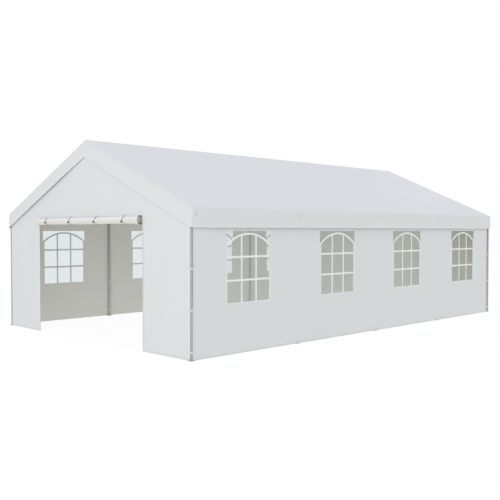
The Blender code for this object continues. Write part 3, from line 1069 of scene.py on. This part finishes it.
# %% Close the back door
DOOR_LAP = 0.02
back_door = begin(
    "back_door_sheet",
    bpy.ops.mesh.primitive_plane_add,
    ((DOOR_LEFT + DOOR_RIGHT) / 2, END_SHEET_OUT[1] - 0.0032, (WALL_LOW + DOOR_HIGH + DOOR_LAP) / 2),
    (DOOR_RIGHT - DOOR_LEFT + 2 * DOOR_LAP, DOOR_HIGH + DOOR_LAP - WALL_LOW, 1.0),
    (-QUARTER, 0.0, 0.0),
    (wall_white, inner_painted_warm_light, wall_hem_shaded, inner_painted_warm_light),
    size=1.0,
)
cut(back_door, (1, 0, 0), stations(DOOR_LEFT - DOOR_LAP, DOOR_RIGHT + DOOR_LAP, END_STEP))
cut(back_door, (0, 0, 1), [HEM_BAND, *stations(HEM_BAND, DOOR_HIGH + DOOR_LAP, END_STEP)])
raise_hem(back_door, 2, lambda c, n: c.z < HEM_BAND)
bpy.ops.object.mode_set(mode="OBJECT")
write_hem(back_door, lambda point: (point.x, point.z - WALL_LOW))
for point in back_door.data.vertices:
    point.co.y += ripple(point.co.x * 0.5 + 1.9, point.co.z, 5.0) * 0.8
thicken(back_door, WALL_SHEET)
dress(back_door)
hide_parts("back_door")

# %% [markdown]
# Seen through the far windows, the inside is darker and yellower towards the right corner of the closed end, and more
# so higher up. That is painted shade: an attribute on the sheets there says how much.

# %% Paint shade on the inside towards the far corner
def shaded(point):
    """How much painted shade the inner face gets at a place, from 0 to 1."""
    deep = ease(point.y, 1.0, 4.0)
    corner = 0.10 + 0.55 * ease(point.x, 0.0, 2.1)
    high = 0.75 + 0.50 * ease(point.z, 0.9, 1.7)
    return deep * corner * high


for sheet in (*walls.values(), back_wall, back_door):
    far_shade = sheet.data.attributes.new("far_shade", "FLOAT", "POINT")
    for point, value in zip(sheet.data.vertices, far_shade.data):
        value.value = shaded(point.co)
    print(f"{sheet.name}: dulled up to {max(value.value for value in far_shade.data):.2f}")

# %% [markdown]
# ## The steel frame
# All of the frame is made from round tube, with fittings that are short wider tubes and bolts
# through them. One helper makes a length of tube with rounded rims, and another a bolt. Seen
# up close it is those rims and bolt heads that make a frame look like one.

# %% Tube and bolt
TUBE_SIDES = 24
RAIL_RADIUS = 0.019
FITTING_RADIUS = 0.0212
RIM_RADIUS = 0.0224
BOLT_REACH = 0.0255
FRAME_DEPTH = 0.0243
ARM_LENGTH = 0.08


def pipe(start, end, radius, sides=TUBE_SIDES, rounding=0.0012, finish=None):
    """A round length between two places, with its end edges rounded."""
    start, end = Vector(start), Vector(end)
    run = end - start
    forward = run.normalized()
    piece = begin(
        "pipe",
        bpy.ops.mesh.primitive_cylinder_add,
        (start + end) / 2,
        turn=run.to_track_quat("Z", "Y").to_euler(),
        finishes=(finish or steel,),
        vertices=sides,
        radius=radius,
        depth=run.length,
    )
    pick(piece, "EDGE", lambda a, b: abs((a - b).dot(forward)) < 1e-5)
    bpy.ops.mesh.bevel(offset=rounding, segments=2, affect="EDGES")
    bpy.ops.object.mode_set(mode="OBJECT")
    return piece


def bolt(place, direction, reach=BOLT_REACH):
    """A hexagon bolt through a tube: its head on one side and its nut on the other."""
    place, direction = Vector(place), Vector(direction).normalized()
    head = pipe(place + direction * (reach - 0.0055), place + direction * reach, 0.0065, 6, 0.0008,
                bright_steel)
    nut = pipe(place - direction * reach, place - direction * (reach - 0.0050), 0.0060, 6, 0.0008,
               bright_steel)
    shank = pipe(place - direction * (reach + 0.004), place + direction * (reach - 0.004), 0.0030, 10,
                 0.0006, bright_steel)
    return [head, nut, shank]


def rafter(x, up=0.0):
    """A place on a rafter's axis, for an arch at y = 0, or a distance further up from there."""
    x -= math.copysign(up * math.cos(PITCH), x)
    return Vector((x, 0.0, RIDGE_Z - abs(x) * SLOPE - FRAME_DEPTH / math.cos(PITCH)))


print(f"rafters meet the posts at {rafter(POST_X).z:.3f} m")

# %% [markdown]
# A post stands on a square foot plate with rounded corners and four holes for pegs or bolts,
# and it ends in the fitting that its rafter goes into. One post is modelled, and the other
# nine are copies: the left ones are mirrored.

# %% Model one post and copy it
FOOT_SIDE = 0.09
FOOT_THICKNESS = 0.003
FOOT_HOLE = 0.031
HOLE_RADIUS = 0.006


def foot_plate():
    """The square plate under a post, with its holes cut by a boolean."""
    plate = begin(
        "plate",
        bpy.ops.mesh.primitive_cube_add,
        (POST_X, 0.0, FOOT_THICKNESS / 2),
        (FOOT_SIDE, FOOT_SIDE, FOOT_THICKNESS),
        finishes=(plate_steel,),
        size=1.0,
    )
    pick(plate, "EDGE", lambda a, b: abs(a.z - b.z) > FOOT_THICKNESS / 2)
    bpy.ops.mesh.bevel(offset=0.015, segments=5, affect="EDGES")
    drills = []
    for x in (-FOOT_HOLE, FOOT_HOLE):
        for y in (-FOOT_HOLE, FOOT_HOLE):
            drills.append(pipe((POST_X + x, y, -0.01), (POST_X + x, y, 0.02), HOLE_RADIUS, 16, 0.001))
    drill = join("drill", drills)
    holes = plate.modifiers.new("holes", "BOOLEAN")
    holes.operation = "DIFFERENCE"
    holes.object = drill
    bpy.ops.object.select_all(action="DESELECT")
    bpy.context.view_layer.objects.active = plate
    plate.select_set(True)
    bpy.ops.object.modifier_apply(modifier="holes")
    bpy.data.objects.remove(drill, do_unlink=True)
    return plate


weld_bead = begin(
    "weld_bead",
    bpy.ops.mesh.primitive_torus_add,
    (POST_X, 0.0, FOOT_THICKNESS + 0.0008),
    finishes=(steel,),
    major_radius=POST_RADIUS + 0.0004,
    minor_radius=0.0022,
    major_segments=28,
    minor_segments=8,
)
post_parts = [
    pipe((POST_X, 0.0, FOOT_THICKNESS), (POST_X, 0.0, rafter(POST_X).z - 0.010), POST_RADIUS),
    foot_plate(),
    weld_bead,
    pipe((POST_X, 0.0, 1.835), (POST_X, 0.0, 1.957), RIM_RADIUS),
    pipe(rafter(POST_X, ARM_LENGTH), rafter(POST_X, -0.024), POST_RADIUS, rounding=0.004),
    pipe(rafter(POST_X, ARM_LENGTH + 0.001), rafter(POST_X, ARM_LENGTH - 0.009), RIM_RADIUS),
    *bolt(rafter(POST_X, ARM_LENGTH - 0.028), (0.0, 1.0, 0.0)),
    *bolt((POST_X, 0.0, 1.87), (0.0, 1.0, 0.0), 0.0268),
]
model_post = join("model_post", post_parts)
for side in ("right", "left"):
    for number, arch in enumerate(ARCHES, 1):
        mirrored = "x" if side == "left" else ""
        post = copy_of(model_post, f"steel_post_{side}_{number}", (0.0, arch, 0.0), mirrored)
        dress(post)
        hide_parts(f"post_{side}_{number}")
print("faces in a post:", len(model_post.data.polygons))
bpy.data.objects.remove(model_post, do_unlink=True)

# %% [markdown]
# An arch is two rafters that slide into a ridge fitting. Each rafter is two tubes with a sleeve
# where they meet, and a collar under it holds the tube that runs along the slope.

# %% Model one arch and copy it
PURLIN_X = 1.25
PURLIN_DROP = 2 * RAIL_RADIUS + 0.0003


def purlin_place(sign):
    """Axis of a slope tube, under its rafter."""
    return rafter(sign * PURLIN_X) - Vector((sign * math.sin(PITCH), 0.0, math.cos(PITCH))) * PURLIN_DROP


arch_parts = []
for sign in (-1, 1):
    tip = sign * ARM_LENGTH * math.cos(PITCH)
    purlin = purlin_place(sign)
    square = Vector((sign * math.sin(PITCH), 0.0, math.cos(PITCH)))
    half_collar = Vector((0.0, 0.015, 0.0))
    arch_parts += [
        pipe(rafter(0.0), rafter(tip), POST_RADIUS),
        pipe(rafter(tip, 0.009), rafter(tip, -0.001), RIM_RADIUS),
        pipe(rafter(tip / 2), rafter(sign * POST_X, 0.05), RAIL_RADIUS),
        pipe(rafter(sign * 1.34), rafter(sign * 1.46), 0.0208),
        pipe(purlin - half_collar, purlin + half_collar, 0.0222),
        pipe(purlin - square * 0.030, purlin - square * 0.018, 0.0065, 6, 0.0008, bright_steel),
        *bolt(rafter(tip, 0.028), (0.0, 1.0, 0.0)),
        *bolt(rafter(sign * 1.37), (0.0, 1.0, 0.0)),
        *bolt(rafter(sign * 1.43), (0.0, 1.0, 0.0)),
    ]
model_arch = join("model_arch", arch_parts)
for number, y in enumerate(ARCHES, 1):
    arch = copy_of(model_arch, f"steel_arch_{number}", (0.0, y, 0.0))
    dress(arch)
    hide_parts(f"arch_{number}")
print("faces in an arch:", len(model_arch.data.polygons))
bpy.data.objects.remove(model_arch, do_unlink=True)

# %% [markdown]
# The tubes along the eaves and the ridge come one to a bay, each with a sleeve on both ends.
# The slope tubes run the whole length, with a joint sleeve next to each inner arch.

# %% Lay the tubes along the marquee
TUBE_GAP = 0.0003
SLEEVE_LENGTH = 0.06


def along_line(x, z, start, end, radius):
    return pipe((x, start, z), (x, end, z), radius)


eave_z, ridge_z = rafter(POST_X).z, rafter(0.0).z
for line, x, z in (("left_eave", -POST_X, eave_z), ("right_eave", POST_X, eave_z), ("ridge", 0.0, ridge_z)):
    for number, (near, far) in enumerate(zip(ARCHES, ARCHES[1:]), 1):
        start, end = near + POST_RADIUS + TUBE_GAP, far - POST_RADIUS - TUBE_GAP
        parts = [
            along_line(x, z, start + 0.02, end - 0.02, RAIL_RADIUS),
            along_line(x, z, start, start + SLEEVE_LENGTH, 0.0207),
            along_line(x, z, end - SLEEVE_LENGTH, end, 0.0207),
            *bolt((x, start + SLEEVE_LENGTH / 2, z), (0.35, 0.0, 1.0), 0.0248),
            *bolt((x, end - SLEEVE_LENGTH / 2, z), (0.35, 0.0, 1.0), 0.0248),
        ]
        tube = dress(join(f"steel_{line}_tube_{number}", parts))
        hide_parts(f"{line}_tube_{number}")
for side, sign in SIDES.items():
    x, _, z = purlin_place(sign)
    low, high = (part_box(f"{side}_slope_purlin")[i][1] for i in (0, 1))
    parts = [along_line(x, z, low, high, RAIL_RADIUS)]
    for arch in ARCHES[1:4]:
        parts += [
            along_line(x, z, arch + 0.12, arch + 0.24, 0.0207),
            *bolt((x, arch + 0.15, z), (1.0, 0.0, 0.0), 0.0248),
            *bolt((x, arch + 0.21, z), (1.0, 0.0, 0.0), 0.0248),
        ]
    purlin = dress(join(f"steel_slope_tube_{side}", parts))
    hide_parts(f"{side}_slope_purlin")

# %% [markdown]
# ## The door's ties
# Four elastic cords hold the roll. Each comes out of the seam over the doorway a hand's width
# to the right of its dark ball, passes over the roll to the ball, and back under the roll.

# %% Make the door ties
CORD_RADIUS = 0.0024
BALL_RADIUS = 0.0135
BALL_ANGLE = 202.0


def cord_piece(name, points, radius, finish, closed=False):
    """A round cord through some points, as a mesh."""
    curve = bpy.data.curves.new(name, "CURVE")
    curve.dimensions = "3D"
    curve.bevel_depth = radius
    curve.bevel_resolution = 2
    curve.use_fill_caps = not closed
    spline = curve.splines.new("NURBS")
    spline.points.add(len(points) - 1)
    for point, place in zip(spline.points, points):
        point.co = (*place, 1.0)
    spline.use_endpoint_u = not closed
    spline.use_cyclic_u = closed
    spline.order_u = 3
    spline.resolution_u = 6
    piece = bpy.data.objects.new(name, curve)
    bpy.context.scene.collection.objects.link(piece)
    bpy.ops.object.select_all(action="DESELECT")
    piece.select_set(True)
    bpy.context.view_layer.objects.active = piece
    bpy.ops.object.convert(target="MESH")
    piece = bpy.context.active_object
    piece.data.materials.append(finish)
    return piece


def ball_piece(name, place):
    """A moulded ball with a short neck where its cord goes in."""
    ball = begin(name, bpy.ops.mesh.primitive_uv_sphere_add, place, finishes=(ball_dark,),
                 radius=BALL_RADIUS, segments=20, ring_count=12)
    top = place[2] + BALL_RADIUS
    pick(ball, "FACE", lambda c, n: c.z > top - 0.002)
    bpy.ops.mesh.extrude_region_move(TRANSFORM_OT_translate={"value": (0.0, 0.0, 0.003)})
    bpy.ops.object.mode_set(mode="OBJECT")
    return ball


def on_roll(along, degrees, lift):
    """A place on the roll's skin. 90 degrees is its top, 180 its front and 270 its bottom."""
    row = LEAD_ROWS + (90.0 - degrees) % 360.0 / 360.0 * TURN_ROWS
    away = Vector((0.0, math.cos(math.radians(degrees)), math.sin(math.radians(degrees))))
    return roll_point(along, row) + away * lift


for number, tie in enumerate(TIE_PLACES, 1):
    ball_place = on_roll(tie, BALL_ANGLE, CORD_RADIUS + BALL_RADIUS)
    parts = [ball_piece("ball", ball_place)]
    lift = CORD_RADIUS + 0.0008
    for spread in (0.004, 0.018):
        seam = Vector((tie + spread, END_SHEET_OUT[-1] - 0.001, DOOR_HIGH + 0.006))
        path = [seam, seam + Vector((0.0, -0.012, 0.001))]
        path += [on_roll(tie + spread * (1.0 - (i / 8) ** 2), 112 + i * 10, lift) for i in range(8)]
        path.append(ball_place)
        parts.append(cord_piece("strand", path, CORD_RADIUS, tie_cord_shaded))
    under = [on_roll(tie, BALL_ANGLE + i * 13, lift) for i in range(18)]
    parts.append(cord_piece("under", under, CORD_RADIUS, tie_cord_shaded))
    dress(join(f"door_tie_{number}", parts), 60.0)
print("door ties:", len(TIE_PLACES))

# %% [markdown]
# The back door has the same ties, but they hang free in a short loop from the seam, because
# the door is let down.

# %% Hang the back door's ties
LOOP_DROP = 0.085
for number, tie in enumerate(TIE_PLACES, 1):
    out = END_SHEET_OUT[1] + 0.004
    top = DOOR_HIGH - 0.004
    ball_place = Vector((tie, out + BALL_RADIUS, top - LOOP_DROP - BALL_RADIUS))
    parts = [ball_piece("ball", ball_place)]
    for spread in (-0.014, 0.014):
        path = [
            Vector((tie + spread, out - 0.003, top + 0.006)),
            Vector((tie + spread * 1.1, out + 0.004, top - 0.01)),
            Vector((tie + spread * 1.2, out + 0.006, top - LOOP_DROP * 0.5)),
            Vector((tie + spread * 0.6, out + 0.008, top - LOOP_DROP * 0.85)),
            ball_place + Vector((0.0, 0.0, BALL_RADIUS * 0.6)),
        ]
        parts.append(cord_piece("strand", path, CORD_RADIUS, tie_cord_shaded))
    dress(join(f"back_tie_{number}", parts), 60.0)
print("back door ties:", len(TIE_PLACES))

# %% [markdown]
# ## Zips
# Each doorway edge carries a zip. At the back the zips are closed, with their sliders at the
# foot, and at the front the open half stays on the edge of the doorway. The teeth are a narrow
# strip of rows, every second one raised.

# %% Sew in the zips
ZIP_PITCH = 0.0032
ZIP_HALF = 0.0028
TAPE_HALF = 0.014


def zip_line(name, x, outward, tape_from, tape_to, slider_z):
    """A strip of teeth on its tape, with a slider."""
    low, high = WALL_LOW + 0.01, DOOR_HIGH - 0.012
    out = END_SHEET_OUT[outward] + outward * 0.0016
    tape = begin(
        "tape",
        bpy.ops.mesh.primitive_plane_add,
        (x + (tape_from + tape_to) / 2, out, (low + high) / 2),
        (tape_to - tape_from, high - low, 1.0),
        (-outward * QUARTER, 0.0, 0.0),
        (elastic_white,),
        size=1.0,
    )
    thicken(tape, 0.0007, backed=False)
    rows = round((high - low) / ZIP_PITCH) * 2
    teeth = begin(
        "teeth",
        bpy.ops.mesh.primitive_grid_add,
        (x, out + outward * 0.0002, (low + high) / 2),
        (2 * ZIP_HALF, high - low, 1.0),
        (-outward * QUARTER, 0.0, 0.0),
        (zip_plastic,),
        size=1.0,
        x_subdivisions=4,
        y_subdivisions=rows,
    )
    bpy.ops.object.mode_set(mode="OBJECT")
    for point in teeth.data.vertices:
        raised = round((point.co.z - low) / (high - low) * rows) % 2
        inside = abs(point.co.x - x) < ZIP_HALF * 0.9
        point.co.y += outward * (0.0016 * raised + 0.0004) * inside
    slider = begin("slider", bpy.ops.mesh.primitive_cube_add, (x, out + outward * 0.002, slider_z),
                   (0.011, 0.0055, 0.017), finishes=(bright_steel,), size=1.0)
    pick(slider, "EDGE", anywhere)
    bpy.ops.mesh.bevel(offset=0.0014, segments=2, affect="EDGES")
    puller = begin("puller", bpy.ops.mesh.primitive_cube_add, (x, out + outward * 0.0052, slider_z - 0.02),
                   (0.0065, 0.0014, 0.034), finishes=(bright_steel,), size=1.0)
    pick(puller, "FACE", lambda c, n: n.y * outward > 0.9)
    bpy.ops.mesh.inset(thickness=0.0014, depth=-0.0005)
    return dress(join(name, [tape, teeth, slider, puller]), 30.0)


for side, x, toward_sheet in (("left", DOOR_LEFT, -1), ("right", DOOR_RIGHT, 1)):
    half = sorted((0.0, toward_sheet * 0.018))
    zip_line(f"front_zip_{side}", x + toward_sheet * 0.003, -1, *half, DOOR_HIGH - 0.15)
    zip_line(f"back_zip_{side}", x, 1, -TAPE_HALF, TAPE_HALF, 0.085)
print("zips:", 4)

# %% [markdown]
# ## Corner ties
# At each corner the edges of the two wall sheets are held together round the post by short
# elastic straps, with an eyelet at each end. A strap starts as a flat grid, whose columns are
# then laid along the front sheet, round the post and along the side sheet.

# %% Strap the corners
STRAP_HEIGHTS = (0.11, 0.66, 1.205, 1.81)
STRAP_WIDTH = 0.026
STRAP_RADIUS = 0.0280
STRAP_GRIP = 0.020
STRAP_COLUMNS = 18


def eyelet(place, turn):
    """A small metal ring pressed into a sheet."""
    ring = begin("eyelet", bpy.ops.mesh.primitive_torus_add, place, turn=turn, finishes=(bright_steel,),
                 major_radius=0.0065, minor_radius=0.0017, major_segments=16, minor_segments=6)
    bpy.ops.object.mode_set(mode="OBJECT")
    return ring


def strap_place(distance, end_run):
    """Place on the strap's path, right front corner, post at the middle. Starts on the end sheet."""
    quarter_length = STRAP_RADIUS * QUARTER
    if distance < end_run:
        return Vector((distance - end_run, -STRAP_RADIUS, 0.0))
    if distance < end_run + quarter_length:
        angle = (distance - end_run) / STRAP_RADIUS
        return Vector((STRAP_RADIUS * math.sin(angle), -STRAP_RADIUS * math.cos(angle), 0.0))
    return Vector((STRAP_RADIUS, distance - end_run - quarter_length, 0.0))


def strap(name, sign_x, sign_y, post_y, height, end_run, side_run):
    """An elastic strap round the outer quarter of a corner post."""
    length = end_run + side_run + STRAP_RADIUS * QUARTER
    piece = begin(
        "band",
        bpy.ops.mesh.primitive_grid_add,
        (0.0, 0.0, 0.0),
        finishes=(elastic_white,),
        size=1.0,
        x_subdivisions=STRAP_COLUMNS,
        y_subdivisions=1,
    )
    bpy.ops.object.mode_set(mode="OBJECT")
    for point in piece.data.vertices:
        place = strap_place((point.co.x + 0.5) * length, end_run)
        point.co = (
            sign_x * (POST_X + place.x),
            post_y - sign_y * place.y,
            height + point.co.y * STRAP_WIDTH,
        )
    solid = piece.modifiers.new("thickness", "SOLIDIFY")
    solid.thickness = 0.0014
    solid.offset = 0.0
    bpy.ops.object.modifier_apply(modifier="thickness")
    rings = [
        eyelet((sign_x * (POST_X - end_run + 0.004), post_y + sign_y * STRAP_RADIUS, height), (QUARTER, 0.0, 0.0)),
        eyelet((sign_x * (POST_X + STRAP_RADIUS), post_y - sign_y * (side_run - 0.004), height), (0.0, QUARTER, 0.0)),
    ]
    return dress(join(name, [piece, *rings]))


for side, sign_x in SIDES.items():
    for end, sign_y, post_y in (("front", -1, FRONT), ("back", 1, BACK)):
        sheet_edge = abs(END_SHEET_X[sign_y][0 if sign_x < 0 else 1])
        wall_edge = WALL_START if sign_y < 0 else WALL_END
        end_run = max(POST_X - sheet_edge, 0.0) + STRAP_GRIP
        side_run = max(abs(post_y - wall_edge), 0.0) + STRAP_GRIP
        for number, height in enumerate(STRAP_HEIGHTS, 1):
            strap(f"strap_{end}_{side}_{number}", sign_x, sign_y, post_y, height, end_run, side_run)
print("straps:", 4 * len(STRAP_HEIGHTS))

# %% [markdown]
# Where a long wall passes an inner post, a short band round the post holds it. Each band is an
# open tube that a modifier gives its thickness.

# %% Band the inner posts
BAND_HEIGHTS = (0.11, 0.68)
bands = []
for height in BAND_HEIGHTS:
    band = begin("band", bpy.ops.mesh.primitive_cylinder_add, (POST_X, 0.0, height), finishes=(elastic_white,),
                 vertices=28, radius=POST_RADIUS + 0.0016, depth=0.022, end_fill_type="NOTHING")
    thicken(band, 0.0013, backed=False)
    bands.append(band)
model_bands = join("model_bands", bands)
for side in SIDES:
    for number in range(2, 5):
        piece = copy_of(model_bands, f"post_bands_{side}_{number}", (0.0, ARCHES[number - 1], 0.0),
                        "x" if side == "left" else "")
        dress(piece)
bpy.data.objects.remove(model_bands, do_unlink=True)
print("bands:", 6 * len(BAND_HEIGHTS))

# %% [markdown]
# ## Ties along the eaves
# Inside, the top edge of each long wall hangs from the eave tube by elastic loops with a ball,
# three to a bay. The loop goes through an eyelet in the wall. One is modelled and copied.

# %% Tie the long walls to the eave tubes
EYELET_Z = 1.936
LOOP_POINTS = 14
loop_middle = Vector((POST_X + 0.004, 0.0, (EYELET_Z + eave_z + RAIL_RADIUS) / 2))
loop_half_x, loop_half_z = 0.0235, (eave_z + RAIL_RADIUS - EYELET_Z) / 2 + CORD_RADIUS
loop_path = [
    loop_middle + Vector((
        loop_half_x * math.cos(math.tau * i / LOOP_POINTS),
        0.006 * math.cos(math.tau * i / LOOP_POINTS),
        loop_half_z * math.sin(math.tau * i / LOOP_POINTS),
    ))
    for i in range(LOOP_POINTS)
]
eave_tie = join("model_tie", [
    cord_piece("loop", loop_path, CORD_RADIUS, elastic_white, closed=True),
    ball_piece("ball", Vector((POST_X - 0.021 - BALL_RADIUS, 0.0, EYELET_Z + 0.004))),
    eyelet((WALL_OUT - WALL_SHEET - 0.0006, 0.0, EYELET_Z), (0.0, QUARTER, 0.0)),
])
for side in SIDES:
    for bay, (near, far) in enumerate(zip(ARCHES, ARCHES[1:]), 1):
        for number, share in enumerate((0.2, 0.5, 0.8), 1):
            tie = copy_of(eave_tie, f"eave_tie_{side}_{bay}_{number}", (0.0, near + (far - near) * share, 0.0),
                          "x" if side == "left" else "")
            dress(tie, 60.0)
bpy.data.objects.remove(eave_tie, do_unlink=True)
print("eave ties:", 24)

# %% [markdown]
# ## Floor, air and light
# The marquee stands in a white studio. The floor shines a little by itself, so it stays white
# under the cover and lights the inside from below. A wide soft lamp off the front right makes
# the front end brighter than the long wall and lets it fade to the left, and a weaker one
# behind does the same for the back end.

# %% Light the studio
bpy.ops.object.select_all(action="DESELECT")
bpy.ops.mesh.primitive_plane_add(size=120.0, location=(0.0, 0.0, 0.0))
floor = bpy.context.active_object
floor.name = "studio_floor"
floor_white, floor_tree, floor_shader = finish_named("studio_floor_white")
floor_shader.inputs["Base Color"].default_value = (0.08, 0.08, 0.08, 1.0)
floor_shader.inputs["Roughness"].default_value = 1.0
floor_shader.inputs["Specular IOR Level"].default_value = 0.0
floor_shader.inputs["Emission Color"].default_value = (1.0, 1.0, 1.0, 1.0)
floor_shader.inputs["Emission Strength"].default_value = 0.93
floor.data.materials.append(floor_white)

air = bpy.data.worlds.new("studio_air")
air.use_nodes = True
air.node_tree.nodes["Background"].inputs["Color"].default_value = (1.0, 1.0, 1.0, 1.0)
air.node_tree.nodes["Background"].inputs["Strength"].default_value = 1.0
bpy.context.scene.world = air


def softbox(name, place, target, power, size):
    """A square soft lamp that the camera doesn't see."""
    data = bpy.data.lights.new(name, "AREA")
    data.energy = power
    data.size = size
    lamp = bpy.data.objects.new(name, data)
    lamp.location = place
    lamp.rotation_euler = (Vector(target) - Vector(place)).to_track_quat("-Z", "Y").to_euler()
    lamp.visible_camera = False
    bpy.context.scene.collection.objects.link(lamp)


softbox("front_softbox", (3.5, -12.0, 3.5), (0.5, -4.0, 1.3), 105.0, 4.0)
softbox("rear_softbox", (-4.0, 12.0, 4.0), (-0.5, 4.0, 1.3), 60.0, 4.0)
bpy.context.scene.view_settings.view_transform = "Standard"
print("lamps:", len(bpy.data.lights))
